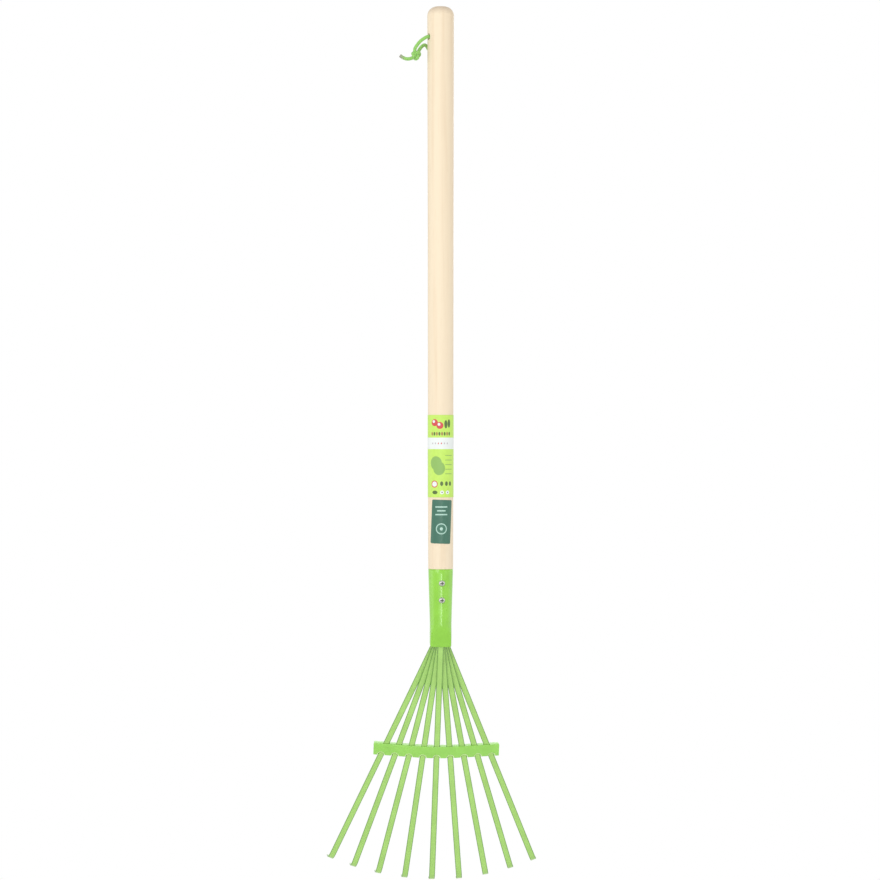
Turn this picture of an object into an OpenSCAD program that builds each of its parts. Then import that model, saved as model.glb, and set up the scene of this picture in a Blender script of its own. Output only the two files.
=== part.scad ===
// Child's fan rake: wooden handle, pressed steel socket, nine hooked spring tines and a bowed crossbar.
// Lengths are millimetres and angles degrees. +Z runs up the handle, +X to the right, -Y to the front.
// The origin lies on the handle's axis, in the middle of its parallel grip stretch.

/* [Handle] */
// Height of the handle's top above the origin
handle_rise = 240; // [200:1:320]
// Distance from the origin down to the shoulder that meets the socket
shoulder_drop = 276; // [265:1:340]
// Diameter just under the rounded top
top_d = 24.5; // [22:0.1:28]
// Diameter of the parallel grip stretch
grip_d = 23.6; // [21:0.1:26]
// Length of the parallel grip stretch
grip_len = 60; // [40:1:120]
// Diameter at the shoulder
shoulder_d = 22.9; // [22:0.1:25]
// Radius of the rounded top edge
top_round = 8.3; // [2:0.1:10]
// Length of the tenon inside the socket
tenon_len = 47; // [35:0.5:49]
// Gap between the tenon and the socket
tenon_gap = 0.1; // [0.05:0.05:0.3]
// Diameter of the cord hole
cord_hole_d = 4.6; // [4.2:0.1:6]
// Diameter of the flared front mouth of the cord hole
front_mouth_d = 6.4; // [5.5:0.1:8]
// Depth of the flared front mouth of the cord hole
front_mouth_depth = 2.6; // [1.5:0.1:4]
// Diameter of the flared back mouth of the cord hole, where the cord turns down
back_mouth_d = 11; // [10:0.1:12]
// Depth of the flared back mouth of the cord hole
back_mouth_depth = 6.2; // [5:0.1:8]
// Distance from the handle's top down to the cord hole
cord_hole_drop = 28; // [20:0.5:40]
// Turn of the cord hole about the handle, its left mouth towards the front
cord_hole_turn = 20; // [16:1:24]

/* [Socket] */
// Outside diameter at the shoulder
socket_d = 22.8; // [21:0.1:24]
// Outside diameter at the waist, where the pressing starts
waist_d = 19.9; // [18.5:0.1:22]
// Length of the round taper
taper_len = 49; // [47:0.5:70]
// Length of the pressed end, along the handle
press_len = 20.5; // [16:0.5:30]
// Thickness of the socket's sheet
sheet_t = 1.1; // [0.8:0.1:1.6]
// Gap between the tine roots and the pressed mouth
mouth_gap = 0.7; // [0.4:0.05:1]
// Squareness of the pressed mouth, from 2 for an oval up
mouth_square = 8; // [7:0.5:12]

/* [Screws] */
// Distance from the shoulder down to the upper screw
upper_screw_drop = 12.6; // [8:0.1:16]
// Distance from the shoulder down to the lower screw
lower_screw_drop = 28.1; // [22:0.1:32]
// Turn of the screws about the handle, from the front to the right
screw_turn = 3; // [0:1:20]
// Diameter of the screw head
screw_head_d = 5.6; // [4:0.1:7]
// Height of the domed screw head
screw_head_h = 1.8; // [1:0.1:2.5]
// Diameter of the screw shank
screw_shank_d = 2.8; // [2:0.1:3.5]
// Length of the screw under its head
screw_len = 14; // [8:0.5:18]
// Length of the screw's point
screw_point_len = 3; // [1:0.5:5]
// Width of the arms of the cross recess
recess_w = 0.8; // [0.5:0.1:1.2]
// Span of the cross recess
recess_span = 3.2; // [2:0.1:4]
// Depth of the cross recess
recess_depth = 0.9; // [0.5:0.1:1.4]
// Gap between a screw and its holes, and under its head
screw_gap = 0.05; // [0.02:0.01:0.2]

/* [Tines] */
// Width of a tine
tine_w = 5.5; // [4:0.1:6]
// Thickness of a tine
tine_t = 0.8; // [0.5:0.05:1]
// Gap between neighbouring layers of the root stack
layer_gap = 0.35; // [0.35:0.05:0.6]
// Angle by which the fan leans back from the handle
fan_pitch = 18; // [8:1:25]
// Sideways turn of the fan, to the left
fan_turn = 1; // [0:0.1:3]
// Roll from one tine to the next, which rounds the fan
fan_roll = 0.6; // [0:0.1:0.7]
// Distance from the point where the tines cross to the mouth
root_drop = 12; // [11.5:0.1:16]
// Length of the roots above the crossing point
root_over = 4; // [1:0.5:5]
// Distance from the crossing point to the start of the hook
tine_reach = 243.5; // [200:0.5:300]
// Inner radius of the hook
hook_r = 7.6; // [4:0.1:12]
// Angle through which the hook turns
hook_turn = 75; // [50:1:90]
// Length of the straight tip after the hook, before its round end
tip_len = 6.5; // [3:0.5:15]

/* [Crossbar] */
// Distance from the mouth to the middle of the crossbar, along the fan
bar_drop = 106.2; // [95:0.1:130]
// Distance from one slot to the next across the fan
slot_span = 12.3; // [11:0.1:15]
// Distance from the middle of the outer slots to the crossbar's ends
bar_end = 9.4; // [6:0.1:15]
// Height of the crossbar's web
bar_h = 11.6; // [9:0.1:13]
// Thickness of the crossbar's sheet
bar_t = 1; // [0.6:0.1:1.4]
// Depth of the crossbar from front to back
bar_depth = 5.6; // [5:0.1:9]
// Radius of the bow in the middle of the crossbar
bow_r = 130; // [110:1:200]
// Slope of the straight wings beside the bow
bow_slope = 8.85; // [8:0.05:10]
// Gap between a tine and its slot
slot_gap = 0.3; // [0.15:0.05:0.5]
// Gap between the middle tine and the crossbar's web
web_gap = 0.15; // [0.1:0.05:0.3]
// Further gap between the other tines and the crossbar's web
side_gap = 0.25; // [0.2:0.05:0.4]

/* [Label and sticker] */
// Distance from the origin down to the label's upper edge
label_drop = 134.7; // [110:0.1:150]
// Height of the label
label_h = 75.3; // [50:0.1:76]
// Thickness of the label and the sticker
paper_t = 0.2; // [0.1:0.05:0.4]
// Gap between paper and wood
paper_gap = 0.1; // [0.05:0.01:0.2]
// Angle left open between the label's ends, at the back
label_open = 8; // [2:1:60]
// Distance from the label's lower edge to the sticker's upper edge
seal_gap = 2.3; // [1.5:0.1:6]
// Width of the sticker, seen from the front
seal_w = 17.5; // [10:0.1:19]
// Height of the sticker
seal_h = 40; // [25:0.1:48]
// Corner radius of the sticker
seal_corner = 1; // [0.5:0.1:3]
// Tilt of the sticker, its foot to the left
seal_tilt = 2.1; // [0:0.1:3]
// Turn of the sticker about the handle, from the front to the right
seal_turn = 0; // [0:1:20]

/* [Cord] */
// Diameter of the cord
cord_d = 3.2; // [2.6:0.1:3.4]
// Gap between the knot and the strands that enter it
knot_gap = 0.15; // [0.1:0.05:0.3]

/* [Hidden] */
$fn = 96;
// One overrun serves every cut
overrun = 0.5;
wood_colour = "burlywood";
paint_colour = "yellowgreen";
steel_colour = "silver";
label_colour = "darkkhaki";
seal_colour = "seagreen";
cord_colour = "limegreen";

// Handle
shoulder_z = -shoulder_drop;
tenon_z = shoulder_z - tenon_len;
round_z = handle_rise - top_round;
cord_hole_z = handle_rise - cord_hole_drop;

// Straight line from one point to another, read at a height
function between(z, z0, r0, z1, r1) = r0 + (r1 - r0) * (z - z0) / (z1 - z0);
// Radius of the handle below its grip stretch
function handle_r(z) = between(z, shoulder_z, shoulder_d / 2, -grip_len / 2, grip_d / 2);
// Outside radius of the socket's round taper
function socket_r(z) = between(z, shoulder_z, socket_d / 2, shoulder_z - taper_len, waist_d / 2);
// Radius of the tenon
function tenon_r(z) = socket_r(z) - sheet_t - tenon_gap;

// Fan: tines are numbered from the left, and counted here from the middle one
TINES = 9;
middle = (TINES + 1) / 2;
side_tines = middle - 1;
sides = [-side_tines : side_tines];
// Depth order in the root stack: the middle tine in front, then left and right in turn
layer_pitch = tine_t + layer_gap;
function layer(j) = 2 * abs(j) - (j < 0 ? 1 : 0);
function root_depth(j) = (side_tines - layer(j)) * layer_pitch;
front_depth = root_depth(0);

// Crossbar's bow, as its setback from the middle at a distance across
bar_at = root_drop + bar_drop;
bow_half = bow_r * sin(bow_slope);
bow_drop = bow_r - bow_r * cos(bow_slope);
function setback(x) = abs(x) < bow_half
    ? bow_r - sqrt(bow_r * bow_r - x * x)
    : bow_drop + (abs(x) - bow_half) * tan(bow_slope);
wing_len = (side_tines * slot_span + bar_end - bow_half) / cos(bow_slope);
BOW_STEPS = 10;
function bow_point(turn, depth) = (bow_r - depth) * [sin(turn), cos(turn)];
function wing_end(side, depth) =
    bow_point(side * bow_slope, depth) + wing_len * [side * cos(bow_slope), -sin(bow_slope)];
function bow_line(depth) = concat(
    [wing_end(-1, depth)],
    [for (i = [-BOW_STEPS : BOW_STEPS]) bow_point(bow_slope * i / BOW_STEPS, depth)],
    [wing_end(1, depth)]
);
web_front = front_depth + tine_t / 2 + web_gap + bar_t;

// A tine's place in the fan: sideways angle, depth at the crossbar, slope in depth and roll
function tine_angle(j) = atan(j * slot_span / bar_at);
function tine_x(j, at) = at * tan(tine_angle(j));
function bar_tine_depth(j) = front_depth - setback(tine_x(j, bar_at)) - (j == 0 ? 0 : side_gap);
function tine_slope(j) = atan((root_depth(j) - bar_tine_depth(j)) * cos(tine_angle(j)) / bar_at);
function tine_roll(j) = -j * fan_roll;
hook_mid_r = hook_r + tine_t / 2;

// Pressed mouth: it takes its inside from the root stack
outer_edge = tine_x(side_tines, root_drop) + tine_w / 2 / cos(tine_angle(side_tines));
mouth_half_w = outer_edge + mouth_gap;
mouth_half_depth = front_depth + tine_t / 2 + mouth_gap;
press_bend_r = press_len / sin(fan_pitch);
waist_z = shoulder_z - taper_len;
mouth_centre = [0, press_bend_r * (1 - cos(fan_pitch)), waist_z - press_len];

// Socket's loft: rings of points, each a superellipse that grows square towards the mouth
LOFT_SIDES = 48;
PRESS_RINGS = 8;
ROUND_SQUARE = 2;
function blend(a, b, share) = a + (b - a) * share;
function ease(share) = share * share * (3 - 2 * share);
function signed_pow(v, e) = sign(v) * pow(abs(v), e);
function oval(a, b, square, turn) =
    [a * signed_pow(cos(turn), 2 / square), b * signed_pow(sin(turn), 2 / square)];
// A point of a ring, moved from its own plane to the bent middle line of the pressed end
function bent(p, share) =
    let (tilt = fan_pitch * share, lean = fan_turn * share)
    let (down = p[0] * sin(lean))
    [
        p[0] * cos(lean),
        press_bend_r * (1 - cos(tilt)) - p[1] * cos(tilt) + down * sin(tilt),
        waist_z - press_bend_r * sin(tilt) - p[1] * sin(tilt) - down * cos(tilt)
    ];
function press_ring(share, inset) =
    let (a = blend(waist_d / 2, mouth_half_w + sheet_t, share) - inset)
    let (b = blend(waist_d / 2, mouth_half_depth + sheet_t, ease(share)) - inset)
    let (square = blend(ROUND_SQUARE, mouth_square, ease(share)))
    [for (i = [0 : LOFT_SIDES - 1]) bent(oval(a, b, square, 360 * i / LOFT_SIDES), share)];
function top_ring(inset) =
    [for (i = [0 : LOFT_SIDES - 1])
        let (p = oval(socket_d / 2 - inset, socket_d / 2 - inset, ROUND_SQUARE, 360 * i / LOFT_SIDES))
        [p[0], -p[1], shoulder_z]];
function wall_rings(inset) =
    concat([top_ring(inset)], [for (k = [0 : PRESS_RINGS]) press_ring(k / PRESS_RINGS, inset)]);

// Two triangles for each cell of a grid of points, rows by columns, closed round the columns
function grid_faces(rows, columns, first, flip) =
    [for (r = [0 : rows - 2], c = [0 : columns - 1])
        let (n = (c + 1) % columns)
        let (p = first + r * columns + c, q = first + r * columns + n)
        each flip
            ? [[p, p + columns, q], [q, p + columns, q + columns]]
            : [[p, q, p + columns], [q, q + columns, p + columns]]];
// Triangles between two closed rings of points
function rim_faces(ring_a, ring_b, columns) =
    [for (c = [0 : columns - 1])
        let (n = (c + 1) % columns)
        each [[ring_a + c, ring_b + c, ring_a + n], [ring_a + n, ring_b + c, ring_b + n]]];

// Cord: the loop runs from the knot through the cord hole, down behind the handle and back to the knot
CORD_SIDES = 8;
cord_r = cord_d / 2;
KNOT_SIDES = 12;
knot_ring_share = 1.05;
knot_ring_r = cord_d * knot_ring_share;
knot_centre = [-22.6, -1.8, 195.2];
cord_loop = [
    [-24, -2.8, 198], [-23.8, -4, 200.7], [-21.6, -5.2, 204.4], [-18.6, -5.7, 207.8], [-15.2, -5.4, 210.3],
    [-12.4, -4.6, 211.8], [-8.5, -3.1, 212], [3, 1.1, 212], [6.2, 2.3, 212], [8.1, 3.4, 212],
    [9.6, 5.1, 212], [10.4, 7.2, 211.9], [10.4, 9.4, 211.4], [9.6, 11.4, 210], [8.6, 13.2, 207.4],
    [7.7, 14.5, 203.5], [7, 14.8, 198], [6.6, 14.4, 190], [6.5, 14, 180], [6.5, 14, 169],
    [6.5, 14, 158], [5.6, 14, 154.6], [3.4, 14, 152.2], [0, 14, 151.4], [-3.4, 14, 152.2],
    [-5.6, 14, 154.6], [-6.5, 14, 158], [-6.5, 14, 169], [-6.6, 14, 180], [-7.4, 14.4, 190],
    [-8.6, 14.1, 198.2], [-11, 12.2, 203.6], [-14, 8.6, 206], [-17.4, 4.8, 203.8], [-21.2, 0.4, 197.5]
];
cord_tail = [
    [-25.2, -2.2, 193.4], [-28.2, -2.8, 191.9], [-31.4, -3.2, 191.6], [-34.6, -3.6, 192.6], [-37.6, -3.8, 194.6]
];

function unit(v) = v / norm(v);
function tangent(path, i) = unit(path[min(i + 1, len(path) - 1)] - path[max(i - 1, 0)]);
// Side direction of each ring, carried along the path so that the tube doesn't twist
function sideways(path, i) =
    let (last = i == 0 ? [0, 1, 0] : sideways(path, i - 1), t = tangent(path, i))
    unit(last - (last * t) * t);
function tube_points(path, r) =
    [for (i = [0 : len(path) - 1])
        let (t = tangent(path, i), u = sideways(path, i), v = cross(t, u))
        for (s = [0 : CORD_SIDES - 1])
            let (turn = 360 * s / CORD_SIDES)
            path[i] + r * cos(turn) * u + r * sin(turn) * v];
function cap_faces(first, columns, flip) =
    [for (c = [1 : columns - 2])
        flip ? [first, first + c, first + c + 1] : [first, first + c + 1, first + c]];

TINE_NODES = [for (k = [1 : TINES]) str("tine_", k)];

// Frame of the fan: its own Z runs down the fan from the crossing point, and its own Y faces the front
module fan_frame() {
    translate(mouth_centre)
        rotate([180 + fan_pitch, 0, 0])
            rotate([0, -fan_turn, 0])
                translate([0, 0, -root_drop])
                    children();
}

// Frame of one tine: its own Z runs along it, and its own Y faces the front
module tine_frame(j) {
    translate([0, root_depth(j), 0])
        rotate([tine_slope(j), tine_angle(j), 0])
            rotate([0, 0, tine_roll(j)])
                children();
}

// Frame of a screw: its own Z runs out of the socket's wall
module screw_frame(drop) {
    z = shoulder_z - drop;
    seat = socket_r(z + screw_head_d / 2) + screw_gap;
    rotate([0, 0, screw_turn])
        translate([0, -seat, z])
            rotate([90, 0, 0])
                children();
}

// Both screws' places
module each_screw() {
    for (drop = [upper_screw_drop, lower_screw_drop])
        screw_frame(drop)
            children();
}

// Pointed shank of a screw, wider all round by a gap
module shank(gap) {
    straight = screw_len - screw_point_len;
    translate([0, 0, -straight])
        cylinder(h = straight + gap, d = screw_shank_d + 2 * gap);
    translate([0, 0, -screw_len - gap])
        cylinder(h = screw_point_len + gap, d1 = 2 * gap, d2 = screw_shank_d + 2 * gap);
}

module screw() {
    dome_r = (pow(screw_head_d / 2, 2) + pow(screw_head_h, 2)) / (2 * screw_head_h);
    difference() {
        union() {
            intersection() {
                translate([0, 0, screw_head_h - dome_r])
                    sphere(r = dome_r);
                cylinder(h = screw_head_h, d = screw_head_d);
            }
            shank(0);
        }
        for (turn = [0, 90])
            rotate([0, 0, turn])
                translate([-recess_span / 2, -recess_w / 2, screw_head_h - recess_depth])
                    cube([recess_span, recess_w, recess_depth + overrun]);
    }
}

// Cord hole with a flared mouth at each end, its own Z to the right and a little to the back
module cord_hole() {
    translate([0, 0, cord_hole_z])
        rotate([0, 90, cord_hole_turn]) {
            cylinder(h = top_d + 2 * overrun, d = cord_hole_d, center = true);
            translate([0, 0, top_d / 2 - back_mouth_depth])
                cylinder(h = back_mouth_depth, d1 = cord_hole_d, d2 = back_mouth_d);
            translate([0, 0, -top_d / 2])
                cylinder(h = front_mouth_depth, d1 = front_mouth_d, d2 = cord_hole_d);
        }
}

// Half outline of the handle with its tenon
module handle_outline() {
    top_flat = top_d / 2 - top_round;
    polygon([
        [0, tenon_z],
        [tenon_r(tenon_z), tenon_z],
        [tenon_r(shoulder_z), shoulder_z],
        [shoulder_d / 2, shoulder_z],
        [grip_d / 2, -grip_len / 2],
        [grip_d / 2, grip_len / 2],
        [top_d / 2, round_z],
        [top_flat, round_z],
        [top_flat, handle_rise],
        [0, handle_rise]
    ]);
    translate([top_flat, round_z])
        intersection() {
            circle(r = top_round);
            square(top_round);
        }
}

module handle() {
    color(wood_colour)
        difference() {
            rotate_extrude()
                handle_outline();
            cord_hole();
            each_screw()
                shank(screw_gap);
        }
}

module socket() {
    outer = wall_rings(0);
    inner = wall_rings(sheet_t);
    rows = len(outer);
    inside = rows * LOFT_SIDES;
    last = (rows - 1) * LOFT_SIDES;
    color(paint_colour)
        difference() {
            polyhedron(
                points = [for (ring = concat(outer, inner)) each ring],
                faces = concat(
                    grid_faces(rows, LOFT_SIDES, 0, false),
                    grid_faces(rows, LOFT_SIDES, inside, true),
                    rim_faces(0, inside, LOFT_SIDES),
                    rim_faces(inside + last, last, LOFT_SIDES)
                )
            );
            each_screw()
                translate([0, 0, -socket_d / 2])
                    cylinder(h = socket_d, d = screw_shank_d + 2 * screw_gap);
        }
}

module upper_screw() {
    color(steel_colour)
        screw_frame(upper_screw_drop)
            screw();
}

module lower_screw() {
    color(steel_colour)
        screw_frame(lower_screw_drop)
            screw();
}

// Section of a tine: a flat strip
module tine_section() {
    square([tine_w, tine_t], center = true);
}

// Outline of the tip: straight, then round
module tip_outline() {
    translate([-tine_w / 2, 0])
        square([tine_w, tip_len]);
    translate([0, tip_len])
        circle(d = tine_w);
}

// A straight strip, the bend of its hook, and the tip
module tine(j) {
    color(paint_colour)
        fan_frame()
            tine_frame(j) {
                translate([0, 0, -root_over])
                    linear_extrude(root_over + tine_reach)
                        tine_section();
                translate([0, -hook_mid_r, tine_reach])
                    rotate(120, [1, 1, 1])
                        rotate_extrude(angle = hook_turn)
                            translate([hook_mid_r, 0])
                                rotate(90)
                                    tine_section();
                translate([0, hook_mid_r * (cos(hook_turn) - 1), tine_reach + hook_mid_r * sin(hook_turn)])
                    rotate([hook_turn + 90, 0, 0])
                        linear_extrude(tine_t, center = true)
                            tip_outline();
            }
}

// Band that follows the crossbar's bow, from one depth behind its front face to another
module bow_band(from, to) {
    back = bow_line(to);
    translate([0, web_front - bow_r])
        polygon(concat(bow_line(from), [for (i = [len(back) - 1 : -1 : 0]) back[i]]));
}

// Slot of one tine through both flanges, and the arched notch where it leaves under the web
module tine_slot(j) {
    slot_w = tine_w + 2 * slot_gap;
    middle_at = bar_at / cos(tine_angle(j));
    lower_edge = (bar_at + bar_h / 2) / cos(tine_angle(j));
    tine_frame(j) {
        translate([-slot_w / 2, -tine_t / 2 - slot_gap, middle_at - bar_h])
            cube([slot_w, tine_t + 2 * slot_gap, 2 * bar_h]);
        translate([0, 0, lower_edge])
            rotate([-90, 0, 0])
                cylinder(h = bar_depth, d = slot_w);
    }
}

module crossbar() {
    color(paint_colour)
        fan_frame()
            difference() {
                translate([0, 0, bar_at - bar_h / 2])
                    linear_extrude(bar_h)
                        bow_band(0, bar_depth);
                translate([0, 0, bar_at - bar_h / 2 + bar_t])
                    linear_extrude(bar_h - 2 * bar_t)
                        bow_band(bar_t, bar_depth + overrun);
                for (j = sides)
                    tine_slot(j);
            }
}

// Tube swept along a path of points
module tube(path, r) {
    rows = len(path);
    polyhedron(
        points = tube_points(path, r),
        faces = concat(
            grid_faces(rows, CORD_SIDES, 0, true),
            cap_faces(0, CORD_SIDES, true),
            cap_faces((rows - 1) * CORD_SIDES, CORD_SIDES, false)
        )
    );
}

module hang_cord() {
    color(cord_colour) {
        tube(cord_loop, cord_r);
        tube(cord_tail, cord_r);
    }
}

// Seat in the knot for a strand that starts at one point and leaves towards the next
module strand_seat(start, next) {
    way = unit(next - start);
    translate(start)
        rotate([0, acos(way[2]), atan2(way[1], way[0])])
            cylinder(h = 2 * cord_d, r = cord_r + knot_gap);
}

module cord_knot() {
    last = len(cord_loop) - 1;
    color(cord_colour)
        difference() {
            translate(knot_centre)
                for (turn = [[0, 0, 0], [90, 0, 0], [0, 90, 0]])
                    rotate(turn)
                        rotate_extrude($fn = KNOT_SIDES)
                            translate([knot_ring_r, 0])
                                circle(r = cord_r, $fn = CORD_SIDES);
            strand_seat(cord_loop[0], cord_loop[1]);
            strand_seat(cord_loop[last], cord_loop[last - 1]);
            strand_seat(cord_tail[0], cord_tail[1]);
        }
}

// Half section of a paper skin on the handle, between two heights
module paper_section(upper, lower) {
    polygon([
        for (step = [[lower, 0], [lower, paper_t], [upper, paper_t], [upper, 0]])
            [handle_r(step[0]) + paper_gap + step[1], step[0]]
    ]);
}

module wrap_label() {
    color(label_colour)
        rotate([0, 0, 90 + label_open / 2])
            rotate_extrude(angle = 360 - label_open)
                paper_section(-label_drop, -label_drop - label_h);
}

module seal_outline() {
    for (cut = [[0, seal_corner], [seal_corner, 0]])
        square([seal_w - 2 * cut[0], seal_h - 2 * cut[1]], center = true);
    for (x = [-1, 1], y = [-1, 1])
        translate([x * (seal_w / 2 - seal_corner), y * (seal_h / 2 - seal_corner)])
            circle(r = seal_corner);
}

module seal_sticker() {
    centre_z = -label_drop - label_h - seal_gap - seal_h / 2;
    color(seal_colour)
        rotate([0, 0, seal_turn])
            intersection() {
                rotate_extrude()
                    paper_section(centre_z + seal_h, centre_z - seal_h);
                translate([0, 0, centre_z])
                    rotate([90, -seal_tilt, 0])
                        linear_extrude(grip_d)
                            seal_outline();
            }
}

handle();
socket();
upper_screw();
lower_screw();
for (k = [1 : TINES]) tine(k - middle);
crossbar();
hang_cord();
cord_knot();
wrap_label();
seal_sticker();
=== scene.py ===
"""Child's fan rake: wooden handle, steel socket, spring tines, bowed crossbar and hanging cord."""

from math import asin, atan, cos, pi, radians, sin, sqrt, tan

import bmesh
import bpy
from mathutils import Matrix, Vector


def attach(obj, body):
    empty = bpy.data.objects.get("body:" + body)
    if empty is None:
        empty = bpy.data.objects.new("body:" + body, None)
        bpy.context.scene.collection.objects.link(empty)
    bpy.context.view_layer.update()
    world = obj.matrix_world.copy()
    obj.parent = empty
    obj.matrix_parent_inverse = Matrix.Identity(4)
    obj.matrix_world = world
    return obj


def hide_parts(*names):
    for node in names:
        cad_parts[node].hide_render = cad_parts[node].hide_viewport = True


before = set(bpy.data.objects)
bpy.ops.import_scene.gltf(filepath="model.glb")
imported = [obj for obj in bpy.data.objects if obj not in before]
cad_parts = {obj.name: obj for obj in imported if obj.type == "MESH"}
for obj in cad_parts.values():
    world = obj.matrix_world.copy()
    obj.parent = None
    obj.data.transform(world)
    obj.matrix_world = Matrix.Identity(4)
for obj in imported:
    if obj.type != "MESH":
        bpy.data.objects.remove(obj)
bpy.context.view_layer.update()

bl_info = {
    "name": "Fan Rake",
    "version": (1, 0, 0),
    "blender": (4, 5, 0),
    "location": "View3D > Sidebar > Rake",
    "description": "Builds a child's fan rake and its studio",
    "category": "Object",
}

BODY = "root"
MM = 0.001
TINES = 9
SIDE_TINES = TINES // 2
# Steps round a large body and a hole, and along a small arc
ROUND_STEPS = 96
HOLE_STEPS = 40
ARC_STEPS = 14
# Distance below which corners are joined
MERGE = 1e-7
# Name of the mesh attribute that marks the tines' narrow edges, where the paint is darkened as
# painted shade
EDGE_SHADE_MARK = "edge"
# Sockets of a Mix node for colours: share, first and second colour, and the result
MIX_INPUTS = (0, 6, 7)
MIX_RESULT = 2


def length(name, description, metres):
    """A size in metres."""
    return bpy.props.FloatProperty(
        name=name, description=description, default=metres, unit="LENGTH", precision=5
    )


def angle(name, description, degrees):
    """An angle, given in degrees and kept in radians."""
    return bpy.props.FloatProperty(
        name=name, description=description, default=radians(degrees), unit="ROTATION"
    )


def colour(name, description, rgb):
    """A linear colour."""
    return bpy.props.FloatVectorProperty(
        name=name, description=description, default=rgb, subtype="COLOR", min=0.0, max=1.0
    )


class RakeHandle(bpy.types.PropertyGroup):
    """Sizes of the handle, its cord hole and its paper."""

    rise: length("Rise", "Height of the top above the origin", 0.240)
    shoulder_drop: length("Shoulder drop", "Distance from the origin down to the shoulder", 0.276)
    top_d: length("Top diameter", "Diameter under the rounded top", 0.0245)
    grip_d: length("Grip diameter", "Diameter of the parallel grip stretch", 0.0236)
    grip_len: length("Grip length", "Length of the parallel grip stretch", 0.060)
    shoulder_d: length("Shoulder diameter", "Diameter at the shoulder", 0.0229)
    top_round: length("Top rounding", "Radius of the rounded top edge", 0.0083)
    tenon_len: length("Tenon length", "Length of the tenon in the socket", 0.047)
    tenon_gap: length("Tenon gap", "Gap between the tenon and the socket", 0.0001)
    hole_d: length("Cord hole diameter", "Diameter of the cord hole", 0.0046)
    front_mouth_d: length("Front mouth", "Diameter of the cord hole's front mouth", 0.0064)
    front_mouth_depth: length("Front mouth depth", "Depth of the front mouth", 0.0026)
    back_mouth_d: length("Back mouth", "Diameter of the cord hole's back mouth", 0.011)
    back_mouth_depth: length("Back mouth depth", "Depth of the back mouth", 0.0062)
    hole_drop: length("Cord hole drop", "Distance from the top down to the cord hole", 0.028)
    hole_turn: angle("Cord hole turn", "Turn of the cord hole about the handle", 20.0)
    label_drop: length("Label drop", "Distance from the origin down to the label", 0.1347)
    label_h: length("Label height", "Height of the label", 0.0753)
    label_open: angle("Label opening", "Angle left open between the label's ends", 8.0)
    seal_gap: length("Sticker gap", "Distance from the label's foot to the sticker's top", 0.0023)
    seal_w: length("Sticker width", "Width of the sticker from the front", 0.0175)
    seal_h: length("Sticker height", "Height of the sticker", 0.040)
    seal_corner: length("Sticker corner", "Corner radius of the sticker", 0.001)
    seal_tilt: angle("Sticker tilt", "Tilt of the sticker", 2.1)
    seal_turn: angle("Sticker turn", "Turn of the sticker about the handle", 0.0)
    paper_t: length("Paper thickness", "Thickness of the label and the sticker", 0.0002)
    paper_gap: length("Paper gap", "Gap between paper and wood", 0.0001)


class RakeSocket(bpy.types.PropertyGroup):
    """Sizes of the socket and its screws."""

    top_d: length("Top diameter", "Outside diameter at the shoulder", 0.0228)
    waist_d: length("Waist diameter", "Outside diameter where the pressing starts", 0.0199)
    taper_len: length("Taper length", "Length of the round taper", 0.049)
    press_len: length("Pressed length", "Length of the pressed end", 0.0205)
    sheet_t: length("Sheet thickness", "Thickness of the sheet", 0.0011)
    mouth_gap: length("Mouth gap", "Gap between the tine roots and the mouth", 0.0007)
    mouth_square: bpy.props.FloatProperty(
        name="Mouth squareness", description="Squareness of the pressed mouth", default=8.0
    )
    upper_drop: length("Upper screw drop", "Distance from the shoulder to the upper screw", 0.0126)
    lower_drop: length("Lower screw drop", "Distance from the shoulder to the lower screw", 0.0281)
    screw_turn: angle("Screw turn", "Turn of the screws about the handle", 3.0)
    head_d: length("Screw head diameter", "Diameter of the screw head", 0.0056)
    head_h: length("Screw head height", "Height of the domed screw head", 0.0018)
    shank_d: length("Screw shank diameter", "Diameter of the screw shank", 0.0028)
    screw_len: length("Screw length", "Length of the screw under its head", 0.014)
    point_len: length("Screw point", "Length of the screw's point", 0.003)
    recess_w: length("Recess width", "Width of the arms of the cross recess", 0.0008)
    recess_span: length("Recess span", "Span of the cross recess", 0.0032)
    recess_depth: length("Recess depth", "Depth of the cross recess", 0.0009)
    screw_gap: length("Screw gap", "Gap under the screw head", 0.00005)


class RakeFan(bpy.types.PropertyGroup):
    """Sizes of the tines and the crossbar."""

    tine_w: length("Tine width", "Width of a tine", 0.0055)
    tine_t: length("Tine thickness", "Thickness of a tine", 0.0008)
    layer_gap: length("Layer gap", "Gap between layers of the root stack", 0.00035)
    pitch: angle("Pitch", "Angle by which the fan leans back", 18.0)
    lean: angle("Lean", "Sideways set of the fan", 1.0)
    roll: angle("Roll", "Roll from one tine to the next", 0.6)
    root_drop: length("Root drop", "Distance from the crossing point to the mouth", 0.012)
    root_over: length("Root overrun", "Length of the roots above the crossing point", 0.004)
    reach: length("Reach", "Distance from the crossing point to the hook", 0.2435)
    hook_r: length("Hook radius", "Inner radius of the hook", 0.0076)
    hook_turn: angle("Hook turn", "Angle through which the hook turns", 75.0)
    tip_len: length("Tip length", "Length of the straight tip", 0.0065)
    bar_drop: length("Bar drop", "Distance from the mouth to the crossbar's middle", 0.1062)
    slot_span: length("Slot span", "Distance from one slot to the next", 0.0123)
    bar_end: length("Bar end", "Distance from the outer slots to the bar's ends", 0.0094)
    bar_h: length("Bar height", "Height of the crossbar's web", 0.0116)
    bar_t: length("Bar thickness", "Thickness of the crossbar's sheet", 0.001)
    bar_depth: length("Bar depth", "Depth of the crossbar", 0.0056)
    bow_r: length("Bow radius", "Radius of the bow in the crossbar's middle", 0.130)
    bow_slope: angle("Bow slope", "Slope of the straight wings", 8.85)
    slot_gap: length("Slot gap", "Gap between a tine and its slot", 0.0003)
    web_gap: length("Web gap", "Gap between the middle tine and the web", 0.00015)
    side_gap: length("Side gap", "Further gap of the other tines", 0.00025)


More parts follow.
